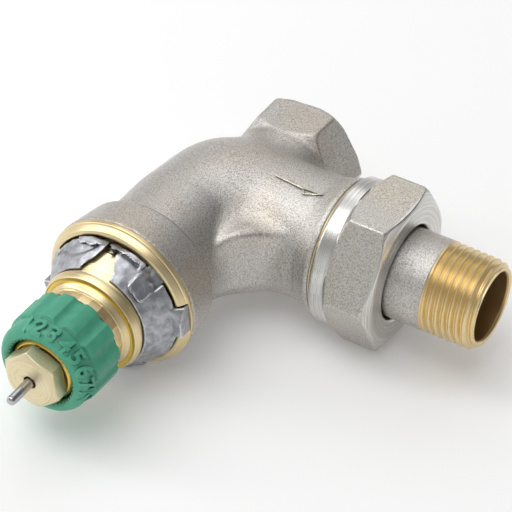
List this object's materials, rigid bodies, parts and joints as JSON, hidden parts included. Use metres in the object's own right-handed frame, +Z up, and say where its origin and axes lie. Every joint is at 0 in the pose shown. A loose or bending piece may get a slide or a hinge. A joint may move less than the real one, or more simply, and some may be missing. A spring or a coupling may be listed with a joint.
{
  "type": "thermostatic radiator valve",
  "caption": "Axial angle thermostatic radiator valve body with numbered presetting ring, sprung pressure pin, pressure regulator, union nut and threaded tailpiece.",
  "frame": {"origin": "middle of the bounding box at the height of the surface the valve lies on", "axes": "+X along the tail towards the radiator, +Y out of the inlet and away from the pressure pin, +Z up from the surface"},
  "size_m": [0.071, 0.0866, 0.0294],
  "materials": {
    "nickel_plate": "satin nickel plate over sand-blasted brass",
    "turned_brass": "bare turned brass",
    "zinc_casting": "bare zinc die casting, which cast iron stands in for",
    "green_plastic": "moulded, satin",
    "bright_steel": "ground stainless steel",
    "black_rubber": "moulded EPDM",
    "grey_polymer": "glass-filled polymer"
  },
  "bodies": {
    "body": {"valve_body": "nickel_plate", "insert_housing": "turned_brass", "locking_ring": "zinc_casting", "housing_o_ring": "black_rubber", "regulator_cage": "grey_polymer", "regulator_spring": "bright_steel", "diaphragm": "black_rubber"},
    "presetting": {"presetting_ring": "green_plastic", "presetting_sleeve": "turned_brass", "sleeve_o_ring": "black_rubber", "gland_nut": "turned_brass", "gland_o_ring": "black_rubber", "gland_washer": "turned_brass", "return_spring": "bright_steel"},
    "plunger": {"pressure_pin": "bright_steel", "valve_spindle": "bright_steel", "spindle_circlip": "bright_steel", "spindle_o_ring": "black_rubber", "valve_cone": "turned_brass", "cone_washer": "black_rubber", "cone_retainer": "bright_steel"},
    "regulator": {"regulator_piston": "turned_brass", "diaphragm_plate": "turned_brass"},
    "tail": {"tailpiece": "nickel_plate"},
    "nut": {"union_nut": "nickel_plate"}
  },
  "joints": [
    {"name": "presetting_turn", "type": "hinge", "parent": "body", "child": "presetting", "pos_m": [-0.02085, -0.0287, 0.0147], "axis": [0, 1, 0], "range_deg": [0, 126]},
    {"name": "pin_press", "type": "slide", "parent": "body", "child": "plunger", "axis": [0, 1, 0], "range_m": [0, 0.0022], "stiffness_N_per_m": 2000, "springref_m": -0.002, "deforming": ["return_spring"]},
    {"name": "regulator_slide", "type": "slide", "parent": "body", "child": "regulator", "axis": [0, 1, 0], "range_m": [0, 0.0012], "stiffness_N_per_m": 1500, "springref_m": -0.002, "deforming": ["regulator_spring", "diaphragm"]},
    {"name": "tail_slide", "type": "slide", "parent": "body", "child": "tail", "axis": [1, 0, 0], "range_m": [0, 0.0068]},
    {"name": "nut_turn", "type": "hinge", "parent": "tail", "child": "nut", "pos_m": [0.01215, 0.0213, 0.0147], "axis": [1, 0, 0], "range_deg": [0, 1350]}
  ],
  "couplings": [
    {"joint": "nut_turn", "follows": "tail_slide", "rad_per_m": 3463.7}
  ]
}
